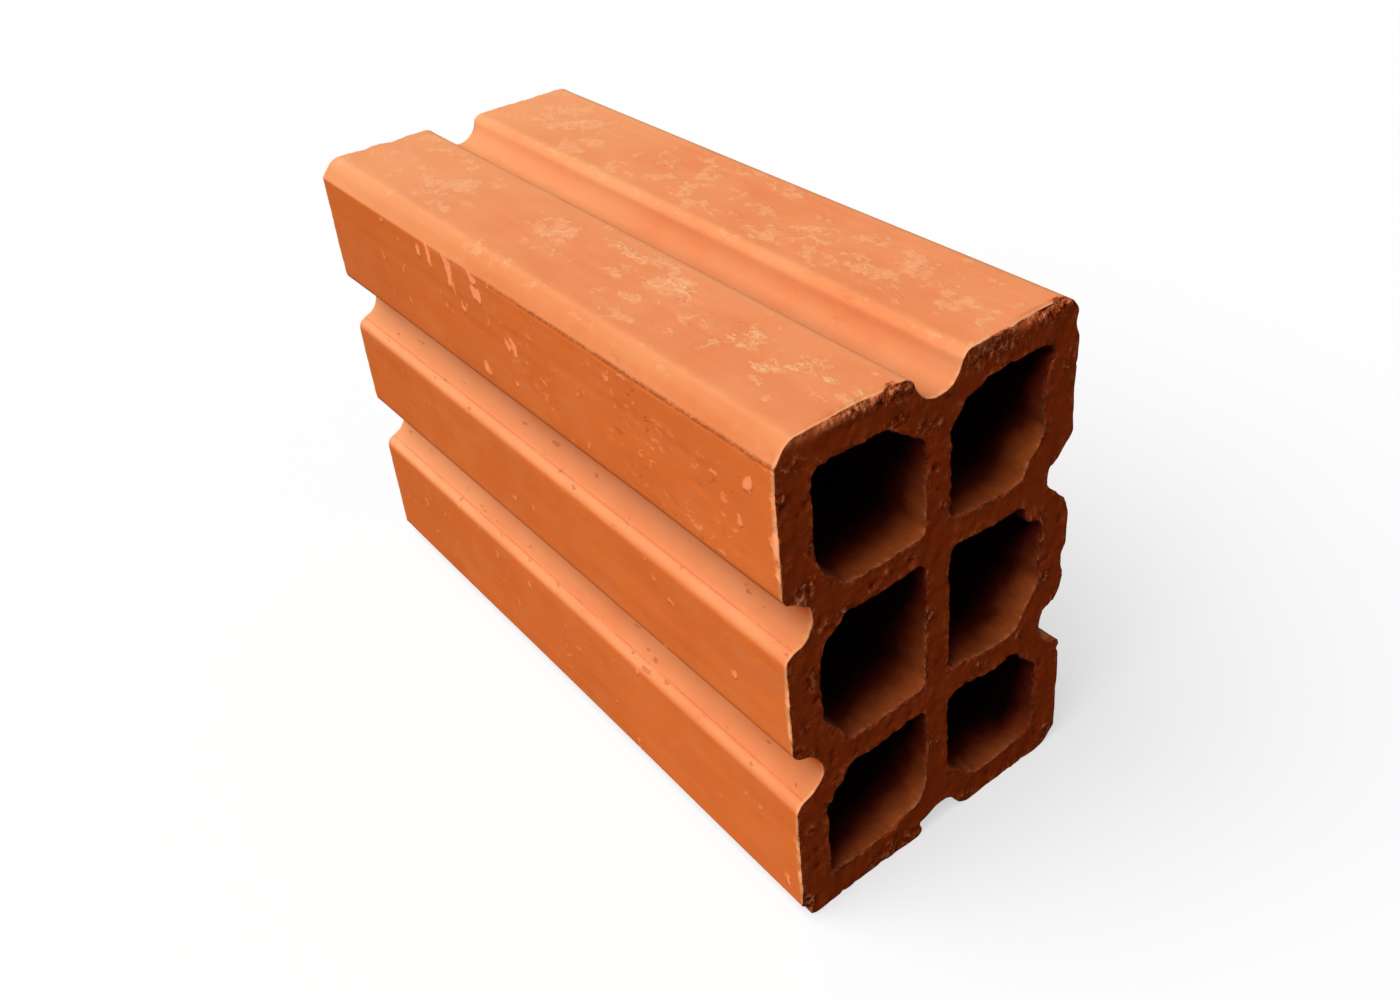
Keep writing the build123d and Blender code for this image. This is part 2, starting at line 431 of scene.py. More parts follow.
def skin_corners(section):
    """Corners and radii of the brick's outline in Y and Z, walked anticlockwise from the foot.

    Each side starts and ends where the bevels of its long corners meet it, and has a groove
    of four corners at each place: the middle of a narrow face, or the level of a web.
    """
    half = section.width / 2
    web_levels = [low - section.web / 2 for low, _ in row_spans(section)[1:]]
    from_head = [section.height - level for level in reversed(web_levels)]
    foot_left, foot_right = np.array([-half, 0]), np.array([half, 0])
    head_left, head_right = foot_left + (0, section.height), foot_right + (0, section.height)
    narrow = ([half], section.corner_reach, section.blend_radius)
    wide = (section.corner_drop, section.crease_radius)
    sides = [
        (foot_left, foot_right, *narrow),
        (foot_right, head_right, web_levels, *wide),
        (head_right, head_left, *narrow),
        (head_left, foot_left, from_head, *wide),
    ]
    lip, root = groove_radii(section)
    groove = [
        (-section.groove_mouth / 2, 0, lip),
        (-section.groove_floor / 2, section.groove_depth, root),
        (section.groove_floor / 2, section.groove_depth, root),
        (section.groove_mouth / 2, 0, lip),
    ]
    corners, radii = [], []
    for start, end, places, inset, radius in sides:
        along = (end - start) / np.hypot(*(end - start))
        inward = np.array([-along[1], along[0]])
        corners.append(start + along * inset)
        radii.append(radius)
        for place, (shift, depth, rounding) in itertools.product(places, groove):
            corners.append(start + along * (place + shift) + inward * depth)
            radii.append(rounding)
        corners.append(end - along * inset)
        radii.append(radius)
    return corners, radii


def cell_corners(section, side, row):
    """Corners and radii of one cell, walked clockwise, with a flat where a groove bites in."""
    low, high = row_spans(section)[row]
    inner, outer = section.web / 2, section.width / 2 - section.wall
    side_flat = (section.side_flat_drop, section.side_flat_reach)
    edge_flat = (section.edge_flat_reach, section.edge_flat_drop)
    lowest, highest = row == 0, row == 2
    anticlockwise = [
        (inner, low, 1, 1, edge_flat if lowest else None),
        (outer, low, -1, 1, None if lowest else side_flat),
        (outer, high, -1, -1, None if highest else side_flat),
        (inner, high, 1, -1, edge_flat if highest else None),
    ]
    corners, radii = [], []
    for y, z, into_y, into_z, flat in anticlockwise:
        if flat is None:
            corners.append((side * y, z))
            radii.append(section.cell_radius)
            continue
        ends = [(side * y, z + into_z * flat[1]), (side * (y + into_y * flat[0]), z)]
        corners += ends if into_y * into_z > 0 else ends[::-1]
        radii += [section.flat_radius] * 2
    return (corners[::-1], radii[::-1]) if side > 0 else (corners, radii)


def stations(length, rim_radius, fine, coarse, growth, rim_steps=2):
    """X of each ring along the brick, how far it is drawn in, and the tilt of its normal.

    From the far end: a quarter circle rounds the rim, then the steps grow by a fixed share
    up to the coarse one at the middle, and the other half mirrors them.
    """
    rounding = np.linspace(math.pi / 2, 0, rim_steps + 1)
    rim_x = length / 2 - rim_radius * (1 - np.sin(rounding))
    rim_inset = rim_radius * (1 - np.cos(rounding))
    span = length / 2 - rim_radius
    count = math.ceil(span / fine)
    gaps = np.minimum(fine * growth ** np.arange(count), coarse)
    along = np.cumsum(gaps)
    along = along[: np.searchsorted(along, span) + 1]
    along *= span / along[-1]
    half_x = np.concatenate([rim_x, span - along[:-1], [0]])
    half_inset = np.concatenate([rim_inset, np.zeros(len(along))])
    half_tilt = np.concatenate([rounding, np.zeros(len(along))])
    x = np.concatenate([-half_x, half_x[-2::-1]])
    inset = np.concatenate([half_inset, half_inset[-2::-1]])
    tilt = np.concatenate([-half_tilt, half_tilt[-2::-1]])
    return x, inset, tilt


def carried_tube(outline, normals, x, inset, tilt):
    """An outline carried along X: each ring is the outline moved inset against its normals.

    Gives points and normals, stations by outline points; the normal leans towards the
    brick's end by the ring's tilt.
    """
    section_points = outline[None] - inset[:, None, None] * normals[None]
    points = np.concatenate(
        [np.broadcast_to(x[:, None, None], (*section_points.shape[:2], 1)), section_points], axis=-1
    )
    lean = np.broadcast_to(np.sin(tilt)[:, None, None], (*section_points.shape[:2], 1))
    facing = np.concatenate([lean, np.cos(tilt)[:, None, None] * normals[None]], axis=-1)
    return points, facing


def tube_faces(rings, around, first):
    """Quads of a tube of points numbered from first, ring after ring, closed round."""
    numbers = first + np.arange(rings * around).reshape(rings, around)
    onward = np.roll(numbers, -1, axis=1)
    quads = np.stack([numbers[:-1], onward[:-1], onward[1:], numbers[1:]], axis=-1)
    return quads.reshape(-1, 4)


def inside_loops(points, loops):
    """Even-odd test: a point is in the clay where a ray along +Y crosses an odd number of edges."""
    starts = np.concatenate(loops)
    ends = np.concatenate([np.roll(loop, -1, axis=0) for loop in loops])
    y, z = points[:, 0, None], points[:, 1, None]
    spans = (starts[:, 1] > z) != (ends[:, 1] > z)
    rise = ends[:, 1] - starts[:, 1]
    share = (z - starts[:, 1]) / np.where(rise == 0, 1, rise)
    crossing = starts[:, 0] + share * (ends[:, 0] - starts[:, 0])
    return (spans & (y < crossing)).sum(axis=1) % 2 == 1


def cut_lattice(loops, step, seed, stray=0.22, clearance=0.6):
    """Points over a cut end: a triangular lattice, each point moved a little at random.

    A point strays by up to that share of a step each way. The ones outside the clay, or nearer
    to its rim than the clearance, also a share of a step, are left out. Also gives each
    point's distance from the nearest rim.
    """
    low, high = loops[0].min(axis=0), loops[0].max(axis=0)
    row_step = step * math.sqrt(3) / 2
    across, up = np.meshgrid(
        np.arange(low[0], high[0], step), np.arange(low[1], high[1], row_step)
    )
    across = across + (np.arange(len(up))[:, None] % 2) * step / 2
    lattice = np.stack([across.ravel(), up.ravel()], axis=1)
    lattice += np.random.default_rng(seed).uniform(-stray, stray, lattice.shape) * step
    lattice = lattice[inside_loops(lattice, loops)]
    squared = np.full(len(lattice), np.inf)
    for part in np.array_split(np.concatenate(loops), 16):
        offsets = lattice[:, None] - part[None]
        squared = np.minimum(squared, (offsets**2).sum(axis=-1).min(axis=1))
    clear = squared > (clearance * step) ** 2
    return lattice[clear], np.sqrt(squared[clear])


def cut_faces(loops, lattice):
    """Triangles between the rims and the lattice points, facing +X, none of them over a hole.

    Three rim points on one line can make a sliver without area on the rim. Rounding decides
    whether it is taken for clay, and one such sliver stays.
    """
    rims = np.concatenate(loops)
    starts = np.cumsum([0] + [len(loop) for loop in loops])
    edges = [
        (first + k, first + (k + 1) % len(loop))
        for first, loop in zip(starts, loops) for k in range(len(loop))
    ]
    points = np.concatenate([rims, lattice])
    scale = 1 / MM
    made = delaunay_2d_cdt([Vector(p * scale) for p in points], edges, [], 0, 1e-6, True)
    origin = np.array([sources[0] for sources in made[3]])
    triangles = origin[np.array(made[2])]
    a, b, c = (points[triangles[:, k]] for k in range(3))
    triangles = triangles[inside_loops((a + b + c) / 3, loops)]
    a, b, c = (points[triangles[:, k]] for k in range(3))
    clockwise = (b - a)[:, 0] * (c - a)[:, 1] < (b - a)[:, 1] * (c - a)[:, 0]
    triangles[clockwise] = triangles[clockwise][:, ::-1]
    return triangles


def bell(distance):
    """A smooth falloff: 1 at no distance, 0 from a distance of 1."""
    return 1 - quintic(np.clip(distance, 0, 1))


def surface_relief(clay, relief):
    """Height of the clay's relief along its normals, in millimetres.

    The skin has long low waves, which mostly take clay away, and drag lines along X. The rims
    are ragged over about a millimetre, the skin's mostly inwards. The ends are torn: noise on
    noise, pits where a coarser noise is low, and a coarser grain in the clusters.
    """
    places, seed = clay["places"], relief.seed
    on_cut, inner = np.abs(clay["facing"][:, 0]), clay["inner"]
    waves = layered_noise(places, (75, 38, 38), seed) * relief.wave_height - relief.wave_height
    drag = noise(places, (170, 2.4, 2.4), seed + 5) + noise(places, (60, 5, 5), seed + 6)
    teeth = layered_noise(places, (2.6, 1.9, 1.9), seed + 9, 2)
    blunt = np.minimum(teeth + 0.35, 0.1)
    ragged = np.where(inner > 0, teeth, blunt) * relief.rim_height
    torn = layered_noise(places, (5, 2.2, 3.4), seed + 13)
    hole = np.minimum(layered_noise(places, (4, 2.2, 2.0), seed + 17, 2) + 0.95, 0)
    height = (waves + drag * relief.drag_height) * (1 - on_cut)
    height += ragged * clay["rim"] * (1 - 0.4 * on_cut)
    crumbs = layered_noise(places, (3, 1.7, 1.7), seed + 21, 2) * relief.crumb_height
    height += (torn - 0.6) * relief.torn_height * on_cut + hole * relief.pit_depth * on_cut * 2
    height += (crumbs - relief.crumb_height / 3) * clay["grains"] * on_cut
    return height / MM


def nearness(places, place, reach):
    """1 at a place, and 0 from the ellipsoid round it whose radii are its reach."""
    return bell(np.linalg.norm((places - place) / np.array(reach, float), axis=1))


def pushed(places):
    """Clay pressed out of place: near each push a point follows its shift, less and less."""
    moved = places.copy()
    for place, reach, shift in PUSHES:
        moved += nearness(places, place, reach)[:, None] * np.array(shift, float)
    return moved


def scuffed(places, side_reach=5, top_reach=9):
    """How scuffed each point is: the strongest of the smears and scuffs that reach it.

    One more scuff is on the +Y lip of the groove that looks up.
    """
    marks = [((18, 9, 128), (4, 4, top_reach), 1.0)]
    for (x, z), (along, up), strength in SMEARS:
        marks.append(((x, SIDE_FACE, z), (along, side_reach, up), strength))
    for (x, y), (along, across), strength in SCUFFS:
        marks.append(((x, y, TOP_FACE), (along, across, top_reach), strength))
    return np.max([nearness(places, place, reach) * much for place, reach, much in marks], axis=0)


def clustered(places, depth=2.5, spread=1.4):
    """How near each point is to a cluster of grains on the +X end, which fades by its spread."""
    grains = np.zeros(len(places))
    for (y, z), (across, up) in CLUSTERS:
        reach = (depth, across * spread, up * spread)
        grains = np.maximum(grains, nearness(places, (NEAR_END, y, z), reach))
    return grains


def pitted(places, facing, spread=1.6):
    """Small holes: the surface sinks along its normal by a bell that is wider than each pit."""
    moved = places.copy()
    for place, radius, depth in PITS:
        moved -= (nearness(places, place, [spread * radius] * 3) * depth)[:, None] * facing
    return moved


def crumbled(places, seed, unevenness=0.16, lump=2.4, fade=0.03):
    """Broken edges: a point inside a scoop moves straight out from its centre to its surface.

    The scoop's surface is an ellipsoid made uneven by noise with lumps of that size. Also
    gives, for each point, how broken it is, which fades just outside the scoop.
    """
    moved = places.copy()
    broken = np.zeros(len(places))
    for number, (centre, radii) in enumerate(SCOOPS):
        offset = moved - centre
        reach = np.linalg.norm(offset / np.array(radii, float), axis=1)
        uneven = 1 + unevenness * layered_noise(moved, [lump] * 3, seed + 50 + number)
        inside = reach < uneven
        ratio = np.where(inside, uneven / np.maximum(reach, 1e-6), 1)
        moved = centre + offset * ratio[:, None]
        broken = np.maximum(broken, np.clip((uneven * (1 + fade) - reach) / fade, 0, 1))
    return moved, broken


def clay_tubes(section, relief, lead):
    """The skin and the six cells, each an outline carried from one end to the other.

    Gives the quads, and by name one array for each thing known of every point. Also gives
    the rims at the ends: their outline, and the numbers of their points at -X and at +X.
    """
    outlines = [rounded_outline(*skin_corners(section), relief.skin_step, relief.arc_step)]
    for row, side in itertools.product(range(3), (-1, 1)):
        corners = cell_corners(section, side, row)
        outlines.append(rounded_outline(*corners, relief.cell_step, relief.cell_step))

    quads, rims, count = [], [], 0
    clay = {}
    for number, (outline, normals, bend) in enumerate(outlines):
        inner = min(number, 1)
        steps = [
            (relief.skin_station, relief.skin_growth), (relief.cell_station, relief.cell_growth)
        ][inner]
        x, inset, tilt = stations(2 * lead, relief.rim_radius, relief.fine_station, *steps)
        room = 0 if inner else relief.skin_room
        tube, facing = carried_tube(outline - room * normals, normals, x, inset, tilt)
        rings, around = tube.shape[:2]
        near_rim = np.exp(-(lead - np.abs(x)) / RIM_FADE)
        quads.append(tube_faces(rings, around, count))
        ends = count + np.arange(around), count + (rings - 1) * around + np.arange(around)
        rims.append((tube[0, :, 1:], *ends))
        low, high = outline.min(axis=0), outline.max(axis=0)
        share = np.tile((outline - low) / (high - low), (rings, 1))
        known = {
            "places": tube.reshape(-1, 3) / MM,
            "facing": facing.reshape(-1, 3),
            "ridge": np.tile(bend, rings),
            "rim": np.repeat(near_rim, around),
            "inner": np.full(rings * around, inner),
            "across": share[:, 0],
            "aloft": share[:, 1],
        }
        for name, numbers in known.items():
            clay.setdefault(name, []).append(numbers)
        count += rings * around
    return quads, clay, rims


def brick_surface(section, relief):
    """The whole surface: points, faces, their clay, and what is known of each point."""
    lead = section.length / 2 - relief.end_room
    quads, clay, rims = clay_tubes(section, relief, lead)
    walls = np.concatenate([np.full(len(part), min(i, 1)) for i, part in enumerate(quads)])

    loops = [rim for rim, _, _ in rims]
    lattice, to_rim = cut_lattice(loops, relief.cut_step, relief.seed)
    triangles = cut_faces(loops, lattice)
    count = sum(len(part) for part in clay["places"])
    ends = []
    for sign, numbered in ((-1, 1), (1, 2)):
        numbers = np.concatenate([rim[numbered] for rim in rims])
        numbers = np.concatenate([numbers, count + np.arange(len(lattice))])
        ends.append(numbers[triangles if sign > 0 else triangles[:, ::-1]])
        clay["places"].append(np.column_stack([np.full(len(lattice), sign * lead), lattice]) / MM)
        clay["facing"].append(np.tile((float(sign), 0, 0), (len(lattice), 1)))
        clay["rim"].append(np.exp(-to_rim / RIM_FADE))
        for name in ("ridge", "inner", "across", "aloft"):
            clay[name].append(np.zeros(len(lattice)))
        count += len(lattice)
    clay = {name: np.concatenate(parts) for name, parts in clay.items()}

    clay["grains"] = clustered(clay["places"])
    height = surface_relief(clay, relief)
    shaped = clay["places"] + height[:, None] * clay["facing"]
    shaped = pitted(pushed(shaped), clay["facing"])
    shaped, broken = crumbled(shaped, relief.seed)
    values = {
        "upward": clay["facing"][:, 2],
        "ridge": clay["ridge"],
        "rim": clay["rim"],
        "broken": broken,
        # Painted shade in the ends' sunken places: how far the torn clay sinks.
        "sunk_shade": np.clip(-height / 0.9 - 0.25, 0, 1) * np.abs(clay["facing"][:, 0]),
        "scuff": scuffed(clay["places"]),
        "grains": clay["grains"],
        "across": clay["across"],
        "aloft": clay["aloft"],
    }
    points = np.clip(shaped * MM, np.array(BOX_LOW), np.array(BOX_HIGH))
    return points, np.concatenate(quads), np.concatenate(ends), walls, values


def make_mesh(name, points, quads, triangles, walls, values):
    """A mesh of quads and triangles, with its named values on the points.

    The quads wear the material that their wall says, skin or cell, and the triangles the third.
    """
    mesh = bpy.data.meshes.new(name)
    mesh.vertices.add(len(points))
    mesh.vertices.foreach_set("co", points.astype(np.float32).ravel())
    mesh.loops.add(quads.size + triangles.size)
    corner_points = np.concatenate([quads.ravel(), triangles.ravel()])
    mesh.loops.foreach_set("vertex_index", corner_points.astype(np.int32))
    mesh.polygons.add(len(quads) + len(triangles))
    starts = np.concatenate(
        [np.arange(len(quads)) * 4, quads.size + np.arange(len(triangles)) * 3]
    )
    mesh.polygons.foreach_set("loop_start", starts.astype(np.int32))
    materials = np.concatenate([walls, np.full(len(triangles), 2)])
    mesh.polygons.foreach_set("material_index", materials.astype(np.int32))
    mesh.update(calc_edges=True)
    mesh.validate(verbose=False)
    mesh.shade_smooth()
    for known, numbers in values.items():
        layer = mesh.attributes.new(known, "FLOAT", "POINT")
        layer.data.foreach_set("value", numbers.astype(np.float32))
    return mesh


def arithmetic(operation, swapped=False):
    """A method that works on a value and another one, the other one first when swapped."""

    def method(self, other=0.0):
        first, second = (other, self) if swapped else (self, other)
        return self.recipe.node("ShaderNodeMath", {"operation": operation}, {0: first, 1: second})

    return method


class Value:
    """A value in a node tree, which Python's own operators work on."""

    __add__ = __radd__ = arithmetic("ADD")
    __sub__ = arithmetic("SUBTRACT")
    __rsub__ = arithmetic("SUBTRACT", swapped=True)
    __mul__ = __rmul__ = arithmetic("MULTIPLY")
    __truediv__ = arithmetic("DIVIDE")
    __abs__ = arithmetic("ABSOLUTE")
    most = arithmetic("MAXIMUM")

    def __init__(self, recipe, socket):
        self.recipe, self.socket = recipe, socket

    def between(self, low, high, **settings):
        """0 at low and beyond it, 1 at high and beyond it, and an even slope between them."""
        values = {"Value": self, "From Min": low, "From Max": high}
        return self.recipe.node("ShaderNodeMapRange", {"clamp": True, **settings}, values)

    def eased(self, low, high):
        """The same with a smooth rise."""
        return self.between(low, high, interpolation_type="SMOOTHSTEP")


class Recipe:
    """A node tree written as Python expressions."""

    def __init__(self, tree):
        self.tree = tree
        tree.nodes.clear()

    def node(self, kind, settings=None, values=None, output=0):
        """A node of that kind, its settings made first, then its sockets' values or links."""
        made = self.tree.nodes.new(kind)
        for name, setting in (settings or {}).items():
            setattr(made, name, setting)
        for name, value in (values or {}).items():
            if isinstance(value, Value):
                self.tree.links.new(value.socket, made.inputs[name])
            else:
                made.inputs[name].default_value = value
        return Value(self, made.outputs[output]) if len(made.outputs) else None

    def vector(self, operation, first, second=(0, 0, 0)):
        settings = {"operation": operation}
        return self.node("ShaderNodeVectorMath", settings, {0: first, 1: second})

    def mix(self, share, first, second):
        """One colour to the other by share."""
        first, second = (c if isinstance(c, Value) else (*c, 1) for c in (first, second))
        settings = {"data_type": "RGBA", "clamp_factor": True}
        return self.node("ShaderNodeMix", settings, {0: share, 6: first, 7: second}, 2)

    def attribute(self, name):
        return self.node("ShaderNodeAttribute", {"attribute_name": name}, output="Fac")

    def axes(self, place):
        """The three numbers of a place."""
        names = ("X", "Y", "Z")
        values = {"Vector": place}
        return [self.node("ShaderNodeSeparateXYZ", {}, values, output=name) for name in names]

    def clouds(self, place, size, detail=2.0, roughness=0.5, stretch=(1, 1, 1), shift=0.0):
        """Noise from 0 to 1 whose lumps are size millimetres, drawn out by stretch."""
        scale = tuple(1 / (size * s) for s in stretch)
        spot = self.vector("ADD", self.vector("MULTIPLY", place, scale), (shift, shift, shift))
        values = {"Vector": spot, "Scale": 1.0, "Detail": detail, "Roughness": roughness}
        return self.node("ShaderNodeTexNoise", {"noise_dimensions": "3D"}, values)


def new_clay(name):
    """A bare material, its recipe, and the place on the brick in millimetres."""
    material = bpy.data.materials.new(name)
    material.use_nodes = True
    r = Recipe(material.node_tree)
    place = r.vector("MULTIPLY", r.node("ShaderNodeTexCoord", output="Object"), (1000, 1000, 1000))
    return material, r, place


def darker(colour, share):
    """A colour with only that share of its light."""
    return tuple(share * part for part in colour)


def finish_clay(r, colour, height, lean=None):
    """Matt clay of that colour, with a bump whose height is in millimetres.

    Where it leans, the clay faces upwards by that much more.
    """
    values = {"Height": height, "Strength": 1.0, "Distance": MM}
    if lean is not None:
        up = r.node("ShaderNodeCombineXYZ", {}, {"Z": lean})
        facing = r.vector("ADD", r.node("ShaderNodeNewGeometry", output="Normal"), up)
        values["Normal"] = r.vector("NORMALIZE", facing)
    bump = r.node("ShaderNodeBump", {}, values)
    surface = r.node(
        "ShaderNodeBsdfPrincipled", {},
        {"Base Color": colour, "Roughness": 0.95, "Normal": bump, "Specular IOR Level": 0.06},
    )
    r.node("ShaderNodeOutputMaterial", {}, {"Surface": surface})


def drawn_skin(colours):
    """Clay as the die left it: dusted where it looks up, rubbed on its lips, scuffed in places.

    It also carries painted shade, and a painted highlight on the lips that face up.
    """
    material, r, place = new_clay("drawn_skin")
    x, y, z = r.axes(place)
    upward, ridge, rim = r.attribute("upward"), r.attribute("ridge"), r.attribute("rim")
    scuff, broken = r.attribute("scuff"), r.attribute("broken")
    outward, off_top = 0 - y, 1 - z.between(118, 122)
    on_side, beside = outward.between(41, 42), outward.between(34, 36)
    top_groove = z.between(119, 121) * (1 - abs(y).between(9.0, 10.5))
    side_groove = (42.3 - abs(y)).between(0, 0.8) * z.between(124, 120) * upward.between(0, 0.2)
    level = upward.eased(0.04, 0.85).most(top_groove).most(side_groove)
    steep = 1 - level

    side = r.mix(x.between(-80, 70), colours.side, colours.near)
    colour = r.mix(level, side, colours.top)
    colour = r.mix((0 - ridge).between(0.1, 1.0) * level * (1 - top_groove), colour, colours.root)
    # Painted shade: the top groove, but for its lips, is painted darker than the face round it.
    colour = r.mix(top_groove * (1 - ridge.between(0, 1)), colour, colours.hollow)
    # Paler lips where they face up: partly rubbed wear, partly a painted highlight.
    colour = r.mix(ridge.between(0.2, 1.0) * upward.between(0.12, 0.5) * 0.55, colour, colours.lip)
    bevel = z.between(124.9, 125.6) * abs(y).between(37.4, 38.8)
    colour = r.mix(bevel * 0.5, colour, colours.bevel)
    blotch = r.clouds(place, 15, 4, 0.6, (1.8, 1, 1))
    colour = r.mix(blotch.between(0.4, 0.7) * 0.32, colour, colours.blotch)
    bloom = r.clouds(place, 9, 3, 0.55, (1.3, 1, 1), 6.0).between(0.48, 0.66) * steep
    colour = r.mix(bloom * 0.16, colour, colours.smear)
    colour = r.mix(level * (0 - x).between(10, 95) * 0.38, colour, colours.pale)
    streaks = r.clouds(place, 2.2, 2, 0.6, (30, 1, 1))
    colour = r.mix(streaks.between(0.45, 0.75) * 0.06, colour, colours.pale)

    flakes = r.clouds(place, 7, 6, 0.68, (1.2, 1, 1))
    grain = r.clouds(place, 1.2, 3, 0.6)
    veins = 1 - abs(r.clouds(place, 6, 4, 0.6, (1.4, 1, 1), 9.0) - 0.5).between(0.005, 0.035)
    patches = (flakes + scuff * 0.11).between(0.56, 0.60)
    mottle = patches * (0.3 + grain.between(0.4, 0.65) * 0.5) + veins * scuff.between(0.4, 1.1)
    mottle = mottle * (z.between(128.4, 129.4) * 0.85 + bevel * 0.15)
    smears = r.clouds(place, 4.5, 3, 0.5, (1.0, 1, 1.5))
    strokes = (smears + scuff * 0.22 - 0.22).between(0.46, 0.56) * on_side
    colour = r.mix(mottle, colour, colours.pale)
    colour = r.mix(strokes * steep, colour, colours.smear)
    crowd = r.clouds(place, 22, 2, 0.5, (1, 1, 1), 4.0).between(0.45, 0.6)
    crowd = crowd * z.between(60, 108) * x.between(-30, 45) * (1 - level * 0.7)
    nicks = r.clouds(place, 2.2, 4, 0.6, (1.6, 1, 1), 3.0)
    nicked, scored = nicks.between(0.58, 0.63) * crowd, nicks.between(0.39, 0.34) * crowd
    colour = r.mix(nicked * 0.5, colour, colours.smear)
    colour = r.mix(scored * 0.4, colour, colours.stain_and_shade)

    # Painted shade: a dark, uneven line along the crease under the bevel on the -Y side, towards
    # +X.
    shade = z.between(124.2, 124.9) * (1 - z.between(125.3, 125.8)) * on_side
    shade = shade * x.between(-45, 15) * (grain * 0.5 + flakes * 0.5).between(0.36, 0.54)
    colour = r.mix(shade * 0.75, colour, colours.stain_and_shade)

    # Painted shade under the -Y side's lips that face down.
    under = (0 - upward).between(0.05, 0.5) * outward.between(36, 38)
    colour = r.mix(under * 0.6, colour, colours.stain_and_shade)
    drag = ridge.between(0.02, 0.15) * (1 - ridge.between(0.3, 0.6)) * upward.between(0.45, 0.7)
    drag = drag * beside * off_top * flakes.between(0.35, 0.5)
    colour = r.mix(drag * 0.3, colour, colours.stain_and_shade)
    gouge = r.clouds(place, 2.2, 3, 0.5, (2.0, 1, 1), 7.0).between(0.665, 0.70)
    gouge = gouge * beside * upward.between(0.3, 0.6) * off_top
    colour = r.mix(gouge * 0.45, colour, colours.stain_and_shade)

    fringe = (rim * (0.8 + scuff)).between(0.3, 0.6) * (grain + flakes * 0.8).between(0.7, 0.95)
    colour = r.mix(fringe * 0.7, colour, colours.pale)
    # Painted shadow: a dark band along the cut ends' rims on the +Y side, below the top, where the
    # brick's body keeps the lamp off.
    painted_rim_shadow = rim.between(0.03, 0.3) * y.between(33, 35) * off_top
    colour = r.mix(painted_rim_shadow, colour, colours.stain_and_shade)
    colour = r.mix(broken, colour, r.mix(grain.between(0.45, 0.6), colours.cut, colours.crumb))
    height = streaks * 0.02 + mottle * 0.12 + strokes * steep * 0.3
    height = height + nicked * 0.08 - scored * 0.06 - shade * 0.2 - gouge * 0.12
    height = height + broken * grain * 0.4
    finish_clay(r, colour, height, (strokes * 0.5 + nicked * 0.35) * steep)
    return material


def cut_clay(colours):
    """Wire-cut clay: dark and torn, with pale grains in clusters and along its rims; its darkness
    is partly its own and partly painted shade.
    """
    material, r, place = new_clay("cut_clay")
    rim, sunk_shade, broken = r.attribute("rim"), r.attribute("sunk_shade"), r.attribute("broken")
    grains = r.attribute("grains")
    y, z = r.axes(place)[1:]
    patch = r.clouds(place, 10, 3, 0.6, (1, 1.3, 0.8))
    grain = r.clouds(place, 1.3, 2, 0.55, (1, 1, 1.3))
    tears = r.clouds(place, 1.8, 3, 0.6, (1, 2.4, 0.8), 5.0)
    # The cut clay's dark tone is partly painted shade.
    colour = r.mix(patch.between(0.35, 0.65), darker(colours.cut, 0.86), colours.cut)
    colour = r.mix(tears.between(0.5, 0.75) * 0.10, colour, colours.crumb)
    worn = z.between(127.2, 129.2) * abs(y).between(7, 12) * (0.4 + grain.between(0.4, 0.6) * 0.5)
    colour = r.mix(worn, colour, colours.worn)
    crowd = grains * 1.1 + rim * 0.45 + broken * 0.9 + patch.between(0.60, 0.70) * 0.2
    flecks = grain.between(0.53, 0.61) * crowd
    colour = r.mix(flecks * 0.75, colour, colours.fleck)
    # Painted shade where the torn clay sinks, and dark grains in the clusters.
    dark = sunk_shade * 0.6 + grain.between(0.42, 0.32) * crowd * 0.7
    colour = r.mix(dark, colour, darker(colours.cut, 0.15))
    finish_clay(r, colour, grain * (0.10 + crowd * 0.8) + tears * 0.08)
    return material


def cell_clay_and_painted_light(colours):
    """A cell's walls: painted light makes them orange where it falls in, low and on the +Y side,
    and painted shade makes them black inside.

    The upright wall of the lowest +Y cell is painted dim.
    """
    material, r, place = new_clay("cell_clay_and_painted_light")
    x, y, z = r.axes(place)
    across, aloft, rim = r.attribute("across"), r.attribute("aloft"), r.attribute("rim")
    # Painted shade on the upright wall of the lowest +Y cell.
    low_wall_shade = z.between(46, 36) * y.between(0, 5) * across.eased(0.5, 1.0)
    drift = r.clouds(place, 5, 2, 0.5)
    grain = r.clouds(place, 1.1, 3, 0.6, (2, 1, 1))
    # Painted light: a pool that is brightest low in the cell and towards +Y, and dim on that shaded
    # wall.
    lit = (1 - aloft).eased(0.24, 1.0) * (0.35 + across * 0.65) * (1 - low_wall_shade * 0.8)
    colour = r.mix(lit.between(0, 0.8), colours.shade, colours.cell)
    # Painted light on the grains where the pool falls.
    colour = r.mix(grain.between(0.45, 0.75) * lit * 0.25, colour, colours.near)
    # Crumbled rims, lighter where the painted light falls: partly crumbs, partly a painted
    # highlight.
    edge = rim.between(0.3, 0.9) * grain.between(0.4, 0.6) * (0.15 + lit * 0.6)
    colour = r.mix(edge, colour, colours.crumb)
    # Painted shade: the walls darken, then go black, further in from the mouth, and sooner where
    # less light is painted.
    depth = (NEAR_END - abs(x) + drift * 5 - 2.5) / (5 + 11 * lit)
    colour = r.mix(depth.eased(0.05, 0.75), colour, colours.shade)
    colour = r.mix(depth.eased(0.35, 1.15), colour, colours.deep_cell_shade)
    finish_clay(r, colour, grain * 0.12)
    return material


def placed(name, data):
    """A new object in the scene."""
    made = bpy.data.objects.new(name, data)
    bpy.context.scene.collection.objects.link(made)
    return made


